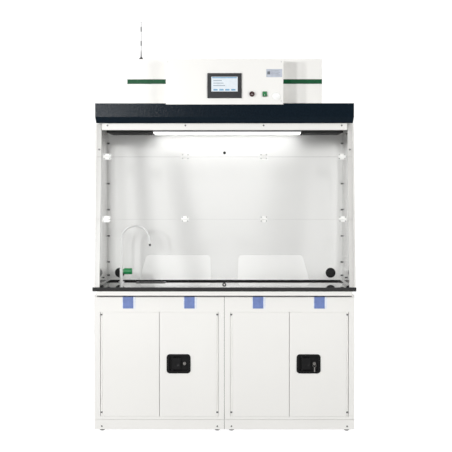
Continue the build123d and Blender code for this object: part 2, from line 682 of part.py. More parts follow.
def sash_panel(low, high):
    """One flat acrylic panel between two heights up the slope."""
    return slope_box((-SASH_HALF, SASH_HALF), (0.0, SASH), (low, high))


def arm_port():
    """The right arm port's cutter: a round-cornered opening that widens towards the bottom."""
    low = up_slope(PORT_BOTTOM)
    high = up_slope(PORT_TOP)
    outline = Polyline((76.0, low), (500.0, low), (450.0, high), (81.0, high), close=True)
    cutter = Pos(0, 60.0, 0) * extrude(Plane.XZ * make_face(outline), 120.0)
    cutter = fillet(cutter.edges().filter_by(Axis.Y), 26.0)
    return SLOPE * cutter


def hinge_leaf(x, seam, upward, knuckles):
    """A leaf on the sash face, with its knuckles around the pin."""
    side = 1.0 if upward else -1.0
    near = seam + side * 0.4
    far = seam + side * LEAF_HEIGHT
    leaf = Pos(x, -LEAF_THICKNESS / 2, (near + far) / 2) * Box(LEAF_WIDTH, LEAF_THICKNESS, abs(far - near))
    far_corners = slice(-2, None) if upward else slice(0, 2)
    leaf = fillet(leaf.edges().filter_by(Axis.Y).sort_by(Axis.Z)[far_corners], 4.0)
    pin_line = Pos(x, -PIN_OUT, seam) * Rot(0, 90, 0)
    half = LEAF_WIDTH / 2
    for low, high in knuckles:
        barrel = pin_line * Pos(0, 0, (low + high) / 2) * Cylinder(KNUCKLE_RADIUS, high - low)
        web = Pos(x + (low + high) / 2, -PIN_OUT / 2, seam + side * 2.6) * Box(high - low, PIN_OUT, 2.6)
        leaf += barrel + web
    ends = [-half] + [end for knuckle in knuckles for end in knuckle] + [half]
    for low, high in zip(ends[0::2], ends[1::2]):
        if high <= low:
            continue
        leaf -= pin_line * Pos(0, 0, (low + high) / 2) * Cylinder(KNUCKLE_RADIUS + 0.4, high - low)
    return leaf


def drilled_leaf(x, seam, upward, knuckles, bore):
    """A hinge leaf with its pin hole and two screw holes."""
    side = 1.0 if upward else -1.0
    leaf = hinge_leaf(x, seam, upward, knuckles)
    leaf -= Pos(x, -PIN_OUT, seam) * Rot(0, 90, 0) * Cylinder(bore, LEAF_WIDTH + 2.0)
    for offset in (-LEAF_SCREW_X, LEAF_SCREW_X):
        leaf -= Pos(x + offset, 0, seam + side * LEAF_SCREW_Z) * Rot(90, 0, 0) * Cylinder(2.0, 20.0)
    return SLOPE * leaf


OUTER_KNUCKLES = [(-22.0, -8.0), (8.0, 22.0)]
MIDDLE_KNUCKLE = [(-7.6, 7.6)]


def held_leaves(seam):
    """The leaves above a seam, with the pins they hold."""
    pieces = []
    for x in HINGE_X:
        pieces.append(drilled_leaf(x, seam, True, OUTER_KNUCKLES, PIN_RADIUS))
        pieces.append(SLOPE * Pos(x, -PIN_OUT, seam) * Rot(0, 90, 0) * Cylinder(PIN_RADIUS, 44.0))
    return pieces


def swinging_leaves(seam):
    """The leaves below a seam, which turn on the pins."""
    return [drilled_leaf(x, seam, False, MIDDLE_KNUCKLE, PIN_RADIUS + RUNNING_GAP) for x in HINGE_X]


def sash_knob():
    """A round pull knob with a dished face."""
    on_face = Pos(0, 0, up_slope(KNOB_Z)) * Rot(90, 0, 0)
    knob = on_face * Cylinder(11.5, 12.0, align=(Align.CENTER, Align.CENTER, Align.MIN))
    knob = fillet(knob.edges().filter_by(GeomType.CIRCLE).sort_by(Axis.Y)[0:1], 2.0)
    knob -= on_face * Pos(0, 0, 12.0) * Cylinder(7.0, 8.0)
    return SLOPE * knob


def sash_catch():
    """The round catch that the folded sash's knob meets."""
    button = Pos(0, -3.0, up_slope(CATCH_Z)) * Rot(90, 0, 0) * Cylinder(8.5, 6.0)
    button = fillet(button.edges().filter_by(GeomType.CIRCLE).sort_by(Axis.Y)[0:1], 1.5)
    return SLOPE * button


# ---------------------------------------------------------------- lamp, filters and fan
def filters():
    """The black prefilter below the ceiling and two carbon cassettes in the housing."""
    prefilter = slab((-700.0, 700.0), (262.0, 620.0), (1739.0, HOOD_TOP))
    prefilter += slab((-658.0, 658.0), (292.0, 588.0), (HOOD_TOP - 1.0, HOOD_TOP + 30.0))
    cassettes = []
    for side in (-1.0, 1.0):
        x = tuple(sorted((side * 10.0, side * 560.0)))
        cassettes.append(slab(x, (270.0, 690.0), (FASCIA_TOP, FASCIA_TOP + 130.0)))
    return [prefilter] + cassettes


def filter_housing():
    """Front, rear, side and top panels, and the round exhaust grille in the top."""
    x = (-HOUSING_HALF, HOUSING_HALF)
    wall = 12.0
    z = (FASCIA_TOP, HOUSING_TOP - wall)
    inner = (HOUSING_FRONT + wall, HOOD_BACK - wall)
    top = slab(x, (HOUSING_FRONT, HOOD_BACK), (HOUSING_TOP - wall, HOUSING_TOP))
    top -= upright(0.0, FAN_SETBACK, (HOUSING_TOP - wall - 1.0, HOUSING_TOP + 1.0), 120.0)
    grille = upright(0.0, FAN_SETBACK, (HOUSING_TOP - 6.0, HOUSING_TOP), 120.0)
    for radius in range(25, 115, 18):
        slot = upright(0.0, FAN_SETBACK, (HOUSING_TOP - 7.0, HOUSING_TOP + 1.0), radius + 10.0)
        slot -= upright(0.0, FAN_SETBACK, (HOUSING_TOP - 7.0, HOUSING_TOP + 1.0), radius)
        for turn in (0.0, 60.0, 120.0):
            slot -= Pos(0, at(FAN_SETBACK), HOUSING_TOP) * Rot(0, 0, turn) * Box(260.0, 9.0, 20.0)
        grille -= slot
    return [
        slab(x, (HOUSING_FRONT, inner[0]), z),
        slab(x, (inner[1], HOOD_BACK), z),
        slab((x[0], x[0] + wall), inner, z),
        slab((x[1] - wall, x[1]), inner, z),
        top,
        grille,
    ]


def fan_motor():
    """A cross bar with the motor and its shaft."""
    z = FASCIA_TOP + 132.0
    bar = slab((-560.0, 560.0), (FAN_SETBACK - 30.0, FAN_SETBACK + 30.0), (z, z + 8.0))
    motor = upright(0.0, FAN_SETBACK, (z + 8.0, z + 50.0), 48.0)
    shaft = upright(0.0, FAN_SETBACK, (z + 50.0, z + 98.0), 5.0)
    return bar + motor + shaft


def fan_impeller():
    """A backplate, a hub on the motor's shaft, curved blades and an inlet ring."""
    base = FASCIA_TOP + 132.0 + 54.0
    wheel = upright(0.0, FAN_SETBACK, (base, base + 4.0), FAN_RADIUS)
    wheel += upright(0.0, FAN_SETBACK, (base, base + 30.0), 16.0)
    blade_count = 16
    for turn in range(blade_count):
        blade = Pos(105.0, 0, base + 24.0) * Rot(0, 0, 40.0) * Box(46.0, 2.5, 44.0)
        wheel += Pos(0, at(FAN_SETBACK), 0) * Rot(0, 0, turn * 360.0 / blade_count) * blade
    rim = upright(0.0, FAN_SETBACK, (base + 44.0, base + 47.0), FAN_RADIUS)
    rim -= upright(0.0, FAN_SETBACK, (base + 43.0, base + 48.0), 92.0)
    wheel += rim
    wheel -= upright(0.0, FAN_SETBACK, (base - 1.0, base + 31.0), 5.0 + RUNNING_GAP)
    return wheel


# ---------------------------------------------------------------- control box
ROCKER = (235.0, 1955.0)
STOP = (160.0, 1955.0)


def control_box():
    """Sides, top and floor of the control box, with a circuit board and transformer inside."""
    x = (-CONTROL_HALF, CONTROL_HALF)
    wall = 8.0
    depth = (COVER_FACE + COVER, HOUSING_FRONT)
    z = (CONTROL_BOTTOM, CONTROL_TOP)
    return [
        slab((x[0], x[0] + wall), depth, z),
        slab((x[1] - wall, x[1]), depth, z),
        slab((x[0] + wall, x[1] - wall), depth, (z[1] - wall, z[1])),
        slab((x[0] + wall, x[1] - wall), depth, (z[0], z[0] + wall)),
        slab((-230.0, -60.0), (HOUSING_FRONT - 10.0, HOUSING_FRONT), (1950.0, 2100.0)),
        slab((-310.0, -250.0), (HOUSING_FRONT - 60.0, HOUSING_FRONT), (1950.0, 2020.0)),
    ]


def control_cover():
    """The front cover with cut-outs for the screen, the button and the rocker."""
    cover = slab((-CONTROL_HALF, CONTROL_HALF), (COVER_FACE, COVER_FACE + COVER), (COVER_BOTTOM, CONTROL_TOP))
    cut = (COVER_FACE - 1.0, COVER_FACE + COVER + 1.0)
    cover -= slab((-90.0, 90.0), cut, (HMI_Z - 64.0, HMI_Z + 64.0))
    cover -= inward(STOP[0], cut, STOP[1], 11.3)
    cover -= slab((ROCKER[0] - 13.5, ROCKER[0] + 13.5), cut, (ROCKER[1] - 15.5, ROCKER[1] + 15.5))
    return cover


def hmi_bezel():
    """The touch panel's frame and its rear box."""
    frame = rounded_slab((-100.0, 100.0), (COVER_FACE - 6.0, COVER_FACE), (HMI_Z - 73.0, HMI_Z + 73.0), 4.0)
    frame += slab((-88.0, 88.0), (COVER_FACE - 1.0, COVER_FACE + 35.0), (HMI_Z - 62.0, HMI_Z + 62.0))
    frame -= slab(SCREEN_X, (COVER_FACE - 7.0, COVER_FACE - 3.0), SCREEN_Z)
    return frame


def stop_button():
    """A round push button with a collar, on a stem through the cover."""
    cap = inward(STOP[0], (COVER_FACE - 11.0, COVER_FACE - 4.0), STOP[1], 15.5)
    cap = fillet(cap.edges().filter_by(GeomType.CIRCLE).sort_by(Axis.Y)[0:1], 2.5)
    return cap + inward(STOP[0], (COVER_FACE - 5.0, COVER_FACE + 25.0), STOP[1], 11.0)


def power_rocker():
    """A two-faceted rocker, with its upper half pressed in at rest."""
    centre = Pos(ROCKER[0], at(COVER_FACE), ROCKER[1])
    outline = Polyline(
        (-6.0, -14.0), (-9.5, -14.0), (-6.5, 0.0), (-9.5, 14.0), (-6.0, 14.0), (8.0, 5.0), (8.0, -5.0),
        close=True,
    )
    body = Pos(-12.5, 0, 0) * extrude(Plane.YZ * make_face(outline), 25.0)
    return centre * Rot(-7.0, 0, 0) * body


def antenna():
    """A magnetic cone foot, a tapered stem and a thin whip with two loading coils."""
    base = revolve(
        Plane.XZ * make_face(Polyline(
            (0, 0), (15.0, 0), (15.0, 3.0), (6.0, 14.0), (3.2, 18.0), (2.4, 45.0), (1.1, 60.0), (1.1, 82.0),
            (3.4, 84.0), (3.4, 110.0), (1.1, 112.0), (0.9, 166.0), (3.2, 168.0), (3.2, 194.0), (1.0, 196.0),
            (0.9, ANTENNA_TOP - HOUSING_TOP - 4.0), (2.0, ANTENNA_TOP - HOUSING_TOP - 3.0),
            (2.0, ANTENNA_TOP - HOUSING_TOP), (0, ANTENNA_TOP - HOUSING_TOP), close=True,
        )),
        Axis.Z,
    )
    return Pos(ANTENNA_X, at(ANTENNA_SETBACK), HOUSING_TOP) * base


# ---------------------------------------------------------------- writing the nodes
def write_cabinets():
    save("left_cabinet_carcass", *carcass(-CABINET_WIDTH))
    save("right_cabinet_carcass", *carcass(CABINET_GAP))
    save("leveling_feet", *[foot(x, setback) for setback in FOOT_SETBACKS for x in HINGE_AXES])
    left, right = MEETING_LINES
    save("left_outer_door", door(HINGE_AXES[0], left))
    save("left_inner_door", door(HINGE_AXES[1], left, left + LATCH_OFFSET))
    save("right_inner_door", door(HINGE_AXES[2], right))
    save("right_outer_door", door(HINGE_AXES[3], right, right + LATCH_OFFSET))
    save("door_pivot_pins", *[pin for x in HINGE_AXES for pin in pivot_pins(x)])
    for name, meeting in zip(("left", "right"), MEETING_LINES):
        latch_x = meeting + LATCH_OFFSET
        save(f"{name}_latch_housing", latch_housing(latch_x))
        save(f"{name}_latch_paddle", latch_paddle(latch_x))
        save(f"{name}_latch_bolt", latch_bolt(latch_x, meeting))
        save(f"{name}_lock_and_key", *lock_and_key(latch_x, name == "right"))


def write_labels():
    holders = []
    cards = []
    z = (CABINET_TOP - 1.0 - LABEL_HEIGHT, CABINET_TOP - 1.0)
    plate_depth = (FRAME_SETBACK - 1.2, FRAME_SETBACK)
    lip_depth = (FRAME_SETBACK - 2.4, plate_depth[0])
    card_depth = (FRAME_SETBACK - 2.0, plate_depth[0])
    for centre in MEETING_LINES:
        for offset in (-LABEL_OFFSET, LABEL_OFFSET):
            left = centre + LABEL_SHIFT + offset - CARD_WIDTH / 2
            card_right = left + CARD_WIDTH
            plate = slab((left, left + LABEL_WIDTH), plate_depth, z)
            lip = slab((card_right, left + LABEL_WIDTH), lip_depth, z)
            holders.append(plate + lip)
            cards.append(slab((left, card_right), card_depth, z))
    save("label_holders", *holders)
    save("label_cards", *cards)


def write_worktop():
    save("worktop_frame", *worktop_frame())
    save("worktop", worktop())
    save("cup_sink", *cup_sink())
    save("tap_body", *tap_body())
    save("tap_spout", tap_spout())
    save("tap_nozzle", tap_nozzle())
    save("tap_handle", tap_handle())


def write_hood():
    frame = side_frame()
    save("right_side_frame", frame)
    save("left_side_frame", mirrored(frame))
    pane = side_pane()
    save("side_windows", mirrored(pane), pane)
    post = front_post()
    save("front_posts", mirrored(post), post)
    save("back_wall", *back_wall())
    save("cable_grommets", grommet(-GROMMET_X), grommet(GROMMET_X))
    save("header_rail", header_rail())
    save("plenum_deck", *plenum_deck())
    save("fascia", fascia())
    save("panel_screws", *panel_screws())


def write_sash():
    lower, upper = SEAMS["lower"], SEAMS["upper"]
    port = arm_port()
    save("sash_top_panel", sash_panel(upper + 1.0, up_slope(HOOD_TOP) - 6.0))
    save("sash_middle_panel", sash_panel(lower + 1.0, upper - 1.0))
    save("sash_lower_panel", sash_panel(2.0, lower - 1.0) - port - mirrored(port))
    save("sash_hinge_fixed_leaves", *held_leaves(upper))
    save("sash_hinge_middle_leaves", *swinging_leaves(upper), *held_leaves(lower))
    save("sash_hinge_lower_leaves", *swinging_leaves(lower))
    save("sash_catch", sash_catch())
    save("sash_knob", sash_knob())


def write_top():
    save("lamp_housing", slab(LAMP_X, (LAMP_FRONT, LAMP_FRONT + 50.0), (LAMP_Z, HOOD_TOP)))
    diffuser_x = (LAMP_X[0] + 2.0, LAMP_X[1] - 2.0)
    save("lamp_diffuser", slab(diffuser_x, (LAMP_FRONT + 3.0, LAMP_BACK), (LAMP_Z - LAMP_DIFFUSER, LAMP_Z)))
    save("filter_housing", *filter_housing())
    save("filters", *filters())
    save("fan_motor", fan_motor())
    save("fan_impeller", fan_impeller())
    stripe = slab((CONTROL_HALF + 2.0, HOUSING_HALF), (HOUSING_FRONT - 1.5, HOUSING_FRONT), STRIPE_Z)
    save("accent_stripes", mirrored(stripe), stripe)
    save("antenna", antenna())
    inlet = slab((-330.0, -280.0), (HOOD_BACK, HOOD_BACK + 3.0), (1940.0, 1974.0))
    inlet -= slab((-318.0, -292.0), (HOOD_BACK + 1.0, HOOD_BACK + 4.0), (1948.0, 1966.0))
    save("power_inlet", inlet)


def write_control_box():
    save("control_box", *control_box())
    save("control_cover", control_cover())
    save("hmi_bezel", hmi_bezel())
    save("hmi_screen", slab(SCREEN_X, (COVER_FACE - 4.5, COVER_FACE - 3.0), SCREEN_Z))
    save("stop_button", stop_button())
    save("power_rocker", power_rocker())
    cap = inward(302.0, (COVER_FACE - 6.0, COVER_FACE), 1942.0, 23.0)
    save("sensor_cap", fillet(cap.edges().filter_by(GeomType.CIRCLE).sort_by(Axis.Y)[0:1], 3.0))
    save("nameplate", slab((244.0, 336.0), (COVER_FACE - 1.0, COVER_FACE), (2053.5, 2100.5)))


write_cabinets()
write_labels()
write_worktop()
write_hood()
write_sash()
write_top()
write_control_box()
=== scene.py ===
"""Looks of the fume hood: materials, finer pieces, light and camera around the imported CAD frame. Metres."""
import json
import math

import bmesh
import bpy
from mathutils import Matrix, Vector

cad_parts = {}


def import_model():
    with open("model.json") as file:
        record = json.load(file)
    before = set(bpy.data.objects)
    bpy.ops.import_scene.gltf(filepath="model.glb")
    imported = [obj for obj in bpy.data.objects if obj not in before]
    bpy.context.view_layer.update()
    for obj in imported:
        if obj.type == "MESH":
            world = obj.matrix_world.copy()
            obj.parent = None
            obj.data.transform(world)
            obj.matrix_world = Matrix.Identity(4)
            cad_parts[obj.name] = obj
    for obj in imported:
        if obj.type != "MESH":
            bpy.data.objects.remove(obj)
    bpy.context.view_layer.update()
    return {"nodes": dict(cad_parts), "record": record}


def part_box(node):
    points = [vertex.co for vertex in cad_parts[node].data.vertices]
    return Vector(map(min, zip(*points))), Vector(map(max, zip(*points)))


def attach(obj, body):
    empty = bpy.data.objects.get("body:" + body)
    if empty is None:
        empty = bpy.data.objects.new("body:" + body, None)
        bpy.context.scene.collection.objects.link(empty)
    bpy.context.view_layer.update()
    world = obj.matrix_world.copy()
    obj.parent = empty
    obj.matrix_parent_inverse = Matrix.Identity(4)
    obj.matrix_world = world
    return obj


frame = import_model()
nodes = frame["nodes"]
scene = bpy.context.scene

# The frame's own places, as part.py has them: the worktop's front edge and top, and the sash plane.
FRONT = -0.36
WORKTOP_TOP = 0.834
SASH_SETBACK = 0.015
SASH_RUN, SASH_RISE = 0.155, 0.907
SASH_LEAN = math.atan2(SASH_RUN, SASH_RISE)
SASH_NORMAL = (0.0, -math.cos(SASH_LEAN), math.sin(SASH_LEAN))
CABINET_X = 0.375
DOOR_FACE = FRONT + 0.0168

WHITE = (0.86, 0.85, 0.82)
# The surround's strength in front of the hood and behind it.
FRONT_GLOW = 0.22
BACK_GLOW = 1.1

CAMERA_PLACE = (0.071, -8.96, 1.343)
CAMERA_TILT = math.radians(1.035)
CAMERA_TURN = math.radians(0.408)
CAMERA_LENS = 119.1


# ---------------------------------------------------------------- materials
class Shader:
    """A Principled material with helpers for procedural detail in object space."""

    def __init__(self, name, color, roughness, **inputs):
        self.material = bpy.data.materials.new(name)
        self.material.use_nodes = True
        self.tree = self.material.node_tree
        self.bsdf = self.tree.nodes["Principled BSDF"]
        self.coords = self.tree.nodes.new("ShaderNodeTexCoord")
        self.bsdf.inputs["Base Color"].default_value = (*color, 1.0)
        self.bsdf.inputs["Roughness"].default_value = roughness
        for key, value in inputs.items():
            self.bsdf.inputs[key.replace("_", " ")].default_value = value

    def link(self, source, target):
        self.tree.links.new(source, target)

    def node(self, kind, **values):
        made = self.tree.nodes.new("ShaderNode" + kind)
        for key, value in values.items():
            if key in made.inputs:
                made.inputs[key].default_value = value
            else:
                setattr(made, key, value)
        return made

    def noise(self, scale, detail=2.0, stretch=None):
        texture = self.node("TexNoise", Scale=scale, Detail=detail)
        if stretch is None:
            self.link(self.coords.outputs["Object"], texture.inputs["Vector"])
        else:
            mapping = self.node("Mapping", Scale=stretch)
            self.link(self.coords.outputs["Object"], mapping.inputs["Vector"])
            self.link(mapping.outputs["Vector"], texture.inputs["Vector"])
        return texture.outputs["Fac"]

    def ramp(self, source, stops):
        ramp = self.node("ValToRGB")
        elements = ramp.color_ramp.elements
        while len(elements) < len(stops):
            elements.new(0.5)
        for element, (position, color) in zip(elements, stops):
            element.position = position
            element.color = color
        self.link(source, ramp.inputs["Fac"])
        return ramp.outputs["Color"]

    def vary_color(self, source, first, second):
        color = self.ramp(source, [(0.35, (*first, 1.0)), (0.65, (*second, 1.0))])
        self.link(color, self.bsdf.inputs["Base Color"])

    def vary(self, socket, source, low, high):
        scaled = self.node("MapRange")
        scaled.inputs["To Min"].default_value = low
        scaled.inputs["To Max"].default_value = high
        self.link(source, scaled.inputs["Value"])
        self.link(scaled.outputs["Result"], self.bsdf.inputs[socket])

    def bump(self, source, strength, distance):
        bump = self.node("Bump", Strength=strength, Distance=distance)
        previous = self.bsdf.inputs["Normal"]
        if previous.is_linked:
            self.link(previous.links[0].from_socket, bump.inputs["Normal"])
        self.link(source, bump.inputs["Height"])
        self.link(bump.outputs["Normal"], self.bsdf.inputs["Normal"])


def powder_coat(name, color, roughness=0.38, peel=0.12):
    """Satin powder coat: a fine orange peel, and a faint drift in tone and gloss."""
    shader = Shader(name, color, roughness)
    darker = tuple(channel * 0.975 for channel in color)
    shader.vary_color(shader.noise(2.2, 3.0), color, darker)
    shader.vary("Roughness", shader.noise(14.0, 2.0), roughness - 0.05, roughness + 0.06)
    shader.bump(shader.noise(520.0, 2.0), peel, 0.0002)
    return shader.material


def moulded(name, color, roughness, grain=0.25, scale=900.0, **inputs):
    """Moulded plastic with a fine grain."""
    shader = Shader(name, color, roughness, **inputs)
    lighter = tuple(min(1.0, channel * 1.18 + 0.002) for channel in color)
    shader.vary_color(shader.noise(35.0, 3.0), color, lighter)
    shader.vary("Roughness", shader.noise(60.0, 2.0), roughness - 0.04, roughness + 0.05)
    shader.bump(shader.noise(scale, 1.0), grain, 0.00015)
    return shader.material


def metal(name, color, roughness, brushed=(1.0, 1.0, 1.0)):
    """Plated or bare metal with fine scratches along one direction."""
    shader = Shader(name, color, roughness, Metallic=1.0)
    lines = shader.noise(260.0, 3.0, brushed)
    shader.vary("Roughness", lines, roughness - 0.08, roughness + 0.1)
    shader.bump(lines, 0.15, 0.0001)
    lighter = tuple(min(1.0, channel * 1.1) for channel in color)
    shader.vary_color(shader.noise(18.0, 2.0), color, lighter)
    return shader.material


def hammered_navy():
    """Navy powder coat with a hammered texture of rounded cells."""
    shader = Shader("navy_hammer_paint", (0.0045, 0.0095, 0.016), 0.24, IOR=1.15)
    shader.vary_color(shader.noise(120.0, 3.0), (0.0035, 0.0085, 0.0145), (0.0055, 0.012, 0.0195))
    cells = shader.node("TexVoronoi", feature="SMOOTH_F1", Scale=130.0)
    cells.inputs["Smoothness"].default_value = 0.6
    shader.link(shader.coords.outputs["Object"], cells.inputs["Vector"])
    shader.bump(cells.outputs["Distance"], 0.45, 0.0016)
    shader.bump(shader.noise(420.0, 3.0), 0.3, 0.0006)
    return shader.material


def clear_sheet(name, tint, face_alpha, edge_alpha, normal):
    """Clear sheet plastic: nearly invisible across its faces, and denser along its cut edges."""
    shader = Shader(name, tint, 0.04, IOR=1.49)
    facing = shader.node("VectorMath", operation="DOT_PRODUCT")
    facing.inputs[1].default_value = normal
    shader.link(shader.coords.outputs["Normal"], facing.inputs[0])
    size = shader.node("Math", operation="ABSOLUTE")
    shader.link(facing.outputs["Value"], size.inputs[0])
    spread = shader.node("MapRange")
    spread.inputs["From Min"].default_value = 0.6
    spread.inputs["From Max"].default_value = 0.8
    spread.inputs["To Min"].default_value = edge_alpha
    spread.inputs["To Max"].default_value = face_alpha
    shader.link(size.outputs["Value"], spread.inputs["Value"])
    shader.link(spread.outputs["Result"], shader.bsdf.inputs["Alpha"])
    shader.vary("Roughness", shader.noise(9.0, 3.0), 0.03, 0.07)
    return shader.material


def mirror_pane():
    """A clear pane that darkens what is behind it and mirrors at a glancing angle."""
    shader = Shader("side_pane", (0.78, 0.78, 0.78), 0.03, Metallic=1.0)
    shader.vary("Roughness", shader.noise(9.0, 3.0), 0.02, 0.05)
    shader.bump(shader.noise(30.0, 2.0), 0.02, 0.0001)
    clear = shader.node("BsdfTransparent", Color=(0.94, 0.94, 0.94, 1.0))
    weight = shader.node("LayerWeight", Blend=0.5)
    grazing = shader.node("Math", operation="POWER")
    grazing.inputs[1].default_value = 5.0
    shader.link(weight.outputs["Facing"], grazing.inputs[0])
    mirror = shader.node("MapRange")
    mirror.inputs["To Min"].default_value = 0.04
    shader.link(grazing.outputs["Value"], mirror.inputs["Value"])
    mix = shader.node("MixShader")
    shader.link(mirror.outputs["Result"], mix.inputs["Fac"])
    shader.link(clear.outputs["BSDF"], mix.inputs[1])
    shader.link(shader.bsdf.outputs["BSDF"], mix.inputs[2])
    shader.link(mix.outputs["Shader"], shader.tree.nodes["Material Output"].inputs["Surface"])
    return shader.material


def polished_worktop():
    """Black phenolic resin with a faint haze of wipe marks, and a polished coat on its top only."""
    shader = Shader("black_worktop", (0.009, 0.009, 0.0095), 0.08, IOR=1.47)
    shader.vary("Roughness", shader.noise(7.0, 4.0, (1.0, 3.0, 1.0)), 0.02, 0.06)
    shader.vary_color(shader.noise(400.0, 2.0), (0.007, 0.007, 0.0075), (0.012, 0.012, 0.0125))
    shader.bsdf.inputs["Coat Roughness"].default_value = 0.02
    normal = shader.node("SeparateXYZ")
    shader.link(shader.node("NewGeometry").outputs["Normal"], normal.inputs["Vector"])
    facing_up = shader.node("Math", operation="GREATER_THAN")
    facing_up.inputs[1].default_value = 0.9
    shader.link(normal.outputs["Z"], facing_up.inputs[0])
    shader.link(facing_up.outputs["Value"], shader.bsdf.inputs["Coat Weight"])
    return shader.material


def glowing(name, color, strength, tint=(1.0, 1.0, 1.0)):
    """A lit surface with a slightly uneven diffuser."""
    shader = Shader(name, color, 0.5)
    shader.bsdf.inputs["Emission Strength"].default_value = strength
    dimmer = [channel * 0.93 for channel in tint]
    glow = shader.ramp(shader.noise(60.0, 1.0), [(0.3, (*tint, 1.0)), (0.7, (*dimmer, 1.0))])
    shader.link(glow, shader.bsdf.inputs["Emission Color"])
    return shader.material


materials = {
    "white_steel": powder_coat("white_steel", WHITE),
    "white_board": powder_coat("white_board", (0.88, 0.88, 0.86), 0.45, 0.05),
    "navy_hammer_paint": hammered_navy(),
    "black_worktop": polished_worktop(),
    "black_polypropylene": moulded("black_polypropylene", (0.02, 0.02, 0.021), 0.4),
    "black_plastic": moulded("black_plastic", (0.003, 0.003, 0.0035), 0.4, IOR=1.25),
    "bezel_plastic": moulded("bezel_plastic", (0.010, 0.010, 0.012), 0.45, IOR=1.35),
    "black_plastic_foot": moulded("black_plastic_foot", (0.16, 0.16, 0.16), 0.5),
    "black_rubber": moulded("black_rubber", (0.004, 0.004, 0.004), 0.6, IOR=1.3),
    "dark_plastic": moulded("dark_plastic", (0.008, 0.008, 0.008), 0.35, IOR=1.3),
    "clear_acrylic": clear_sheet("clear_acrylic", (0.03, 0.03, 0.03), 0.065, 0.40, SASH_NORMAL),
    "hinge_plastic": moulded("hinge_plastic", (0.80, 0.80, 0.78), 0.3, 0.1),
    "side_pane": mirror_pane(),
    "white_epoxy_brass": powder_coat("white_epoxy_brass", (0.9, 0.9, 0.89), 0.22, 0.05),
    "white_plastic": moulded("white_plastic", (0.88, 0.88, 0.86), 0.3, 0.1),
    "green_plastic": moulded("green_plastic", (0.008, 0.26, 0.075), 0.3, 0.15),
    "green_lens": moulded("green_lens", (0.02, 0.17, 0.055), 0.25, 0.1),
    "red_plastic": moulded("red_plastic", (0.030, 0.005, 0.006), 0.28, 0.1),
    "dark_steel": metal("dark_steel", (0.12, 0.12, 0.12), 0.4),
    "zinc_steel": metal("zinc_steel", (0.55, 0.55, 0.54), 0.35, (1.0, 8.0, 1.0)),
    "nickel": metal("nickel", (0.24, 0.23, 0.22), 0.3),
    "galvanised_fan": metal("galvanised_fan", (0.5, 0.52, 0.54), 0.4),
    "grey_aluminium": metal("grey_aluminium", (0.35, 0.35, 0.35), 0.4, (8.0, 1.0, 1.0)),
    "lamp_light": glowing("lamp_light", (0.9, 0.9, 0.9), 1.7),
    "filter_media": moulded("filter_media", (0.006, 0.006, 0.006), 0.8, 0.8, 300.0),
    "green_vinyl": moulded("green_vinyl", (0.001, 0.066, 0.022), 0.5, 0.1, IOR=1.25),
    "blue_card": moulded("blue_card", (0.125, 0.185, 0.42), 0.6, 0.3),
    "antenna_black": moulded("antenna_black", (0.015, 0.015, 0.015), 0.4),
    "screen_glass": glowing("screen_glass", (0.1, 0.1, 0.1), 0.66, (0.98, 1.08, 1.16)),
    "screen_ink": moulded("screen_ink", (0.10, 0.16, 0.22), 0.4),
    "screen_blue": moulded("screen_blue", (0.12, 0.30, 0.48), 0.4),
    "label_holder": moulded("label_holder", (0.72, 0.76, 0.84), 0.25, 0.05),
    "light_mark": moulded("light_mark", (0.75, 0.74, 0.72), 0.4),
    "plate_print": moulded("plate_print", (0.10, 0.11, 0.13), 0.5),
    "louvre_grey": moulded("louvre_grey", (0.05, 0.05, 0.05), 0.6, IOR=1.3),
    "pleat_grey": moulded("pleat_grey", (0.03, 0.03, 0.03), 0.8, 0.5, 300.0, IOR=1.3),
    # seal_rubber also colours the painted shade strips in the cabinet seam and the painted shadow under the
    # worktop's frame.
    "seal_rubber": moulded("seal_rubber", (0.02, 0.02, 0.02), 0.7, IOR=1.3),
    "blue_grey_plate": moulded("blue_grey_plate", (0.42, 0.45, 0.52), 0.42, 0.1),
}

for part in frame["record"]["subparts"]:
    nodes[part["node"]].data.materials.clear()
    nodes[part["node"]].data.materials.append(materials[part["material_slot"]])
nodes["side_windows"].data.materials[0] = materials["side_pane"]
nodes["hmi_bezel"].data.materials[0] = materials["bezel_plastic"]
nodes["label_holders"].data.materials[0] = materials["label_holder"]


# ---------------------------------------------------------------- finer pieces
def soften(node, width):
    """Rounds a piece's sharp edges."""
    bevel = nodes[node].modifiers.new("rounded_edges", "BEVEL")
    bevel.width = width
    bevel.segments = 2
    bevel.limit_method = "ANGLE"
    bevel.angle_limit = math.radians(40.0)
    bevel.harden_normals = False
    for face in nodes[node].data.polygons:
        face.use_smooth = False


SOFT_EDGES = {
    0.0003: ("left_cabinet_carcass", "right_cabinet_carcass", "worktop_frame", "header_rail", "front_posts"),
    0.0004: ("left_outer_door", "left_inner_door", "right_inner_door", "right_outer_door"),
    0.0015: ("worktop",),
    0.0005: ("left_side_frame", "right_side_frame", "control_cover", "filter_housing"),
    0.0008: ("left_latch_housing", "right_latch_housing", "hmi_bezel", "fascia"),
}
for edge_width, soft_nodes in SOFT_EDGES.items():
    for soft_node in soft_nodes:
        soften(soft_node, edge_width)


def built(name, build, material, body="hood"):
    """An object from a bmesh, in place, riding on a body."""
    mesh = bpy.data.meshes.new(name)
    build.to_mesh(mesh)
    build.free()
    mesh.materials.append(materials[material])
    piece = bpy.data.objects.new(name, mesh)
    scene.collection.objects.link(piece)
    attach(piece, body)
    return piece


def add_box(build, low, high, bevel=0.0):
    """A box between two corners, with rounded edges if asked."""
    made = bmesh.ops.create_cube(build, size=1.0)["verts"]
    size = Vector(high) - Vector(low)
    middle = (Vector(high) + Vector(low)) / 2
    for vert in made:
        vert.co = Vector((vert.co.x * size.x, vert.co.y * size.y, vert.co.z * size.z)) + middle
    if bevel:
        edges = list({edge for vert in made for edge in vert.link_edges})
        bmesh.ops.bevel(build, geom=edges, offset=bevel, segments=2, affect="EDGES")


FACING_FRONT = Matrix.Rotation(math.pi / 2, 4, "X")
FACING_SASH = Matrix.Rotation(-SASH_LEAN, 4, "X") @ FACING_FRONT


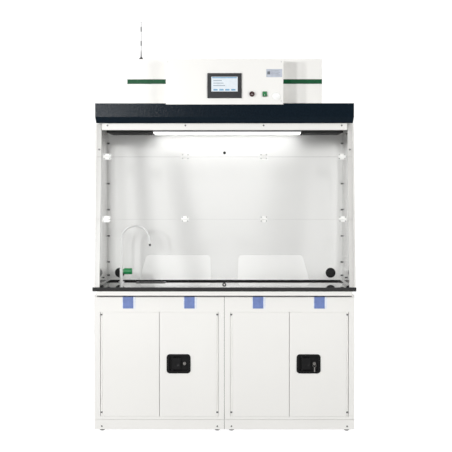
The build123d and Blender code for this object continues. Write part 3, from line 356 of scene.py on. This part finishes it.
def add_disc(build, centre, radii, depth, segments, facing=FACING_FRONT):
    """A short cylinder or cone around an axis through its centre."""
    bmesh.ops.create_cone(
        build,
        cap_ends=True,
        segments=segments,
        radius1=radii[0],
        radius2=radii[1],
        depth=depth,
        matrix=Matrix.Translation(centre) @ facing,
    )


def on_sash(x, depth, height):
    """A point in the sash plane's own directions: across, into the hood and up the slope."""
    foot = Vector((0.0, FRONT + SASH_SETBACK, WORKTOP_TOP))
    up = Vector((0.0, math.sin(SASH_LEAN), math.cos(SASH_LEAN)))
    inward = Vector((0.0, math.cos(SASH_LEAN), -math.sin(SASH_LEAN)))
    return foot + Vector((x, 0.0, 0.0)) + inward * depth + up * height


def seam_shade_strips():
    """Painted shade: dark strips in the gap between the cabinets and under the worktop's frame, standing in
    for the shade there.
    """
    build = bmesh.new()
    # Painted shade: a dark strip filling the gap between the cabinets, where the gap is in shade.
    add_box(build, (-0.0009, FRONT + 0.022, 0.012), (0.0009, FRONT + 0.036, 0.786), 0.0002)
    built("cabinet_seam_painted_shade", build, "seal_rubber")
    build = bmesh.new()
    # Painted shadow: a dark strip under the worktop's frame, where the frame's overhang casts its shadow.
    add_box(build, (-0.734, FRONT + 0.0060, 0.7805), (0.734, FRONT + 0.0175, 0.7859), 0.0008)
    built("worktop_frame_painted_shadow", build, "seal_rubber")


def lamp_louvre():
    """The row of small grey fins in front of the lamp's diffuser."""
    low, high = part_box("lamp_diffuser")
    build = bmesh.new()
    count = 70
    pitch = (high.x - low.x) / count
    half = 0.42 * pitch
    for index in range(count):
        x = low.x + (index + 0.5) * pitch
        add_box(
            build, (x - half, low.y - 0.0060, high.z), (x + half, low.y - 0.0032, high.z + 0.0075), 0.0004
        )
    built("lamp_louvre", build, "louvre_grey")


def prefilter_pleats():
    """Pleats and a frame under the black prefilter."""
    build = bmesh.new()
    near, far = FRONT + 0.266, FRONT + 0.612
    top = 1.7390
    add_box(build, (-0.699, near - 0.003, top - 0.005), (0.699, near + 0.006, top), 0.001)
    count = 90
    reach = 0.69
    for index in range(count):
        x = -reach + (index + 0.5) * 2 * reach / count
        add_box(build, (x - 0.003, near + 0.006, top - 0.004), (x + 0.003, far, top))
    built("prefilter_pleats", build, "pleat_grey")


def screen_page():
    """A generic page of bars and keys on the touch panel."""
    low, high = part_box("hmi_screen")
    face = low.y
    width = high.x - low.x
    height = high.z - low.z

    def patch(build, across, up):
        add_box(
            build,
            (low.x + across[0] * width, face - 0.0004, low.z + up[0] * height),
            (low.x + across[1] * width, face, low.z + up[1] * height),
        )

    dark = bmesh.new()
    for row in range(3):
        patch(dark, (0.08, 0.40 + 0.06 * row), (0.72 - 0.17 * row, 0.755 - 0.17 * row))
    built("screen_lines", dark, "screen_ink")
    blue = bmesh.new()
    patch(blue, (0.03, 0.97), (0.90, 0.97))
    for key in range(4):
        patch(blue, (0.08 + 0.225 * key, 0.24 + 0.225 * key), (0.06, 0.17))
    built("screen_keys", blue, "screen_blue")


def control_marks():
    """Three light dots on the stop button, a bar on the rocker and generic bars on the nameplate."""
    build = bmesh.new()
    low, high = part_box("stop_button")
    middle = (low + high) / 2
    ring = 0.0045
    for turn in range(3):
        angle = math.tau * (turn / 3 + 0.25)
        across, up = ring * math.cos(angle), ring * math.sin(angle)
        add_disc(build, (middle.x + across, low.y - 0.0002, middle.z + up), (0.0016, 0.0016), 0.0006, 12)
    built("stop_mark", build, "light_mark", "stop_button")
    build = bmesh.new()
    low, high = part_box("power_rocker")
    middle = (low + high) / 2
    half = 0.0012
    foot = (middle.x - half, low.y - 0.0003, low.z + 0.0035)
    add_box(build, foot, (middle.x + half, low.y + 0.0025, low.z + 0.0105))
    built("rocker_mark", build, "light_mark", "power_rocker")
    build = bmesh.new()
    low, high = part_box("nameplate")
    add_box(build, (low.x + 0.006, low.y - 0.0003, low.z + 0.016), (low.x + 0.022, low.y, low.z + 0.034))
    for row in range(4):
        z = low.z + 0.012 + 0.008 * row
        end = low.x + 0.080 - 0.008 * (row % 2)
        add_box(build, (low.x + 0.030, low.y - 0.0003, z), (end, low.y, z + 0.0016))
    built("nameplate_print", build, "plate_print")


def hinge_screws():
    """Four dark screws in every sash hinge, two to a leaf."""
    for name, seam, riders in (
        ("upper", 0.7670, ("hood", "sash_middle")),
        ("lower", 0.3977, ("sash_middle", "sash_lower")),
    ):
        for side, body in zip((1.0, -1.0), riders):
            build = bmesh.new()
            for x in (-0.686, -0.229, 0.229, 0.686):
                for offset in (-0.016, 0.016):
                    spot = on_sash(x + offset, -0.0023, seam + side * 0.0117)
                    add_disc(build, spot, (0.0028, 0.0036), 0.0016, 14, FACING_SASH)
            built(f"hinge_screws_{name}_{body}", build, "dark_steel", body)


def knob_face():
    """The pale centre of the pull knob."""
    build = bmesh.new()
    add_disc(build, on_sash(0.0, -0.0086, 0.0142), (0.0036, 0.0042), 0.0010, 32, FACING_SASH)
    built("knob_face", build, "light_mark", "sash_lower")


def holder_lips():
    """The clear lip on the left of every label card."""
    build = bmesh.new()
    for centre in (-CABINET_X, CABINET_X):
        for offset in (-0.177, 0.177):
            left = centre - 0.003 + offset - 0.030
            foot = (left - 0.005, DOOR_FACE, 0.712)
            add_box(build, foot, (left - 0.0002, DOOR_FACE + 0.0011, 0.784), 0.0003)
    built("label_holder_lips", build, "label_holder")


def cover_screws():
    """Small screws at the corners of the control cover."""
    low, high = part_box("control_cover")
    build = bmesh.new()
    for x in (low.x + 0.012, high.x - 0.012):
        for z in (low.z + 0.020, high.z - 0.012):
            add_disc(build, (x, low.y - 0.0008, z), (0.0030, 0.0030), 0.0018, 16)
    built("cover_screws", build, "zinc_steel")


seam_shade_strips()
lamp_louvre()
prefilter_pleats()
screen_page()
control_marks()
hinge_screws()
knob_face()
holder_lips()
cover_screws()


# ---------------------------------------------------------------- stage, light and camera
def floor():
    """A plain pale floor that reaches the horizon; it glows, but doesn't light the object from below."""
    mesh = bpy.data.meshes.new("floor")
    build = bmesh.new()
    bmesh.ops.create_grid(build, x_segments=8, y_segments=8, size=40.0)
    build.to_mesh(mesh)
    build.free()
    ground = bpy.data.objects.new("floor", mesh)
    ground.location.z = -0.001
    scene.collection.objects.link(ground)
    shader = Shader("floor_paint", (0.12, 0.12, 0.12), 0.9)
    shader.bsdf.inputs["Emission Color"].default_value = (1.0, 1.0, 1.0, 1.0)
    shader.bsdf.inputs["Emission Strength"].default_value = 0.93
    shader.vary_color(shader.noise(0.6, 2.0), (0.12, 0.12, 0.12), (0.11, 0.11, 0.11))
    mesh.materials.append(shader.material)
    ground.visible_diffuse = False


def area_light(name, place, target, size, power, spread=180.0, diffuse=True, glossy=True):
    """A rectangular softbox aimed at a point; it can be kept out of diffuse or glossy surfaces."""
    data = bpy.data.lights.new(name, "AREA")
    data.shape = "RECTANGLE"
    data.size, data.size_y = size
    data.energy = power
    data.spread = math.radians(spread)
    light = bpy.data.objects.new(name, data)
    light.location = place
    aim = Vector(target) - Vector(place)
    light.rotation_euler = aim.to_track_quat("-Z", "Y").to_euler()
    light.visible_camera = False
    light.visible_diffuse = diffuse
    light.visible_glossy = glossy
    scene.collection.objects.link(light)


def world():
    """A white surround that is dimmer in front of the hood, where the studio is open."""
    sky = bpy.data.worlds.new("studio")
    sky.use_nodes = True
    tree = sky.node_tree
    tree.nodes["Background"].inputs["Color"].default_value = (1.0, 1.0, 1.0, 1.0)
    direction = tree.nodes.new("ShaderNodeTexCoord")
    split = tree.nodes.new("ShaderNodeSeparateXYZ")
    strength = tree.nodes.new("ShaderNodeMapRange")
    strength.interpolation_type = "SMOOTHSTEP"
    strength.inputs["From Min"].default_value = -0.55
    strength.inputs["From Max"].default_value = 0.05
    strength.inputs["To Min"].default_value = FRONT_GLOW
    strength.inputs["To Max"].default_value = BACK_GLOW
    tree.links.new(direction.outputs["Generated"], split.inputs["Vector"])
    tree.links.new(split.outputs["Y"], strength.inputs["Value"])
    tree.links.new(strength.outputs["Result"], tree.nodes["Background"].inputs["Strength"])
    scene.world = sky


def camera():
    """Far in front at standing chest height, with a long lens, tilted down a little."""
    data = bpy.data.cameras.new("camera")
    data.lens = CAMERA_LENS
    data.sensor_width = 36.0
    data.clip_end = 200.0
    view = bpy.data.objects.new("camera", data)
    view.location = CAMERA_PLACE
    view.rotation_euler = (math.pi / 2 - CAMERA_TILT, 0.0, CAMERA_TURN)
    scene.collection.objects.link(view)
    scene.camera = view


floor()
world()
MIDDLE = (0.0, 0.0, 1.2)
area_light("key_wide", (-4.5, -4.0, 2.3), MIDDLE, (0.5, 0.5), 112.0)
area_light("key_near", (-2.75, -4.3, 2.3), MIDDLE, (0.5, 0.5), 74.0)
area_light("fill_right", (3.6, -4.2, 2.0), MIDDLE, (1.6, 1.8), 112.0)
area_light("fill_low", (0.0, -6.0, 0.5), (0.0, 0.0, 0.6), (4.0, 1.0), 26.0, glossy=False)
area_light("sheen_left", (-1.46, -4.0, 2.1), (-0.7, -0.2, 1.85), (0.30, 0.45), 115.0, diffuse=False)
area_light("chamber_left", (-0.60, -0.20, 1.10), (-0.62, 0.29, 1.10), (0.26, 0.75), 0.15, glossy=False)
area_light("chamber_right", (0.60, -0.20, 1.10), (0.62, 0.29, 1.10), (0.26, 0.75), 0.2, glossy=False)
area_light("chamber_low", (0.0, -0.24, 0.95), (0.0, 0.29, 0.93), (1.10, 0.12), 0.35, glossy=False)
lamp_low, lamp_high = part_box("lamp_diffuser")
lamp_middle = (lamp_low + lamp_high) / 2
lamp_length = lamp_high.x - lamp_low.x
lamp_x = lamp_middle.x
area_light("lamp_wash", (lamp_x, 0.20, 1.733), (lamp_x, 0.29, 1.69), (lamp_length, 0.03), 0.55, 125.0)
under_lamp = (lamp_x, lamp_middle.y, lamp_low.z - 0.004)
area_light("lamp_glow", under_lamp, (lamp_x, 0.20, 0.84), (lamp_length, 0.15), 0.4, 100.0)
camera()
scene.view_settings.view_transform = "Standard"
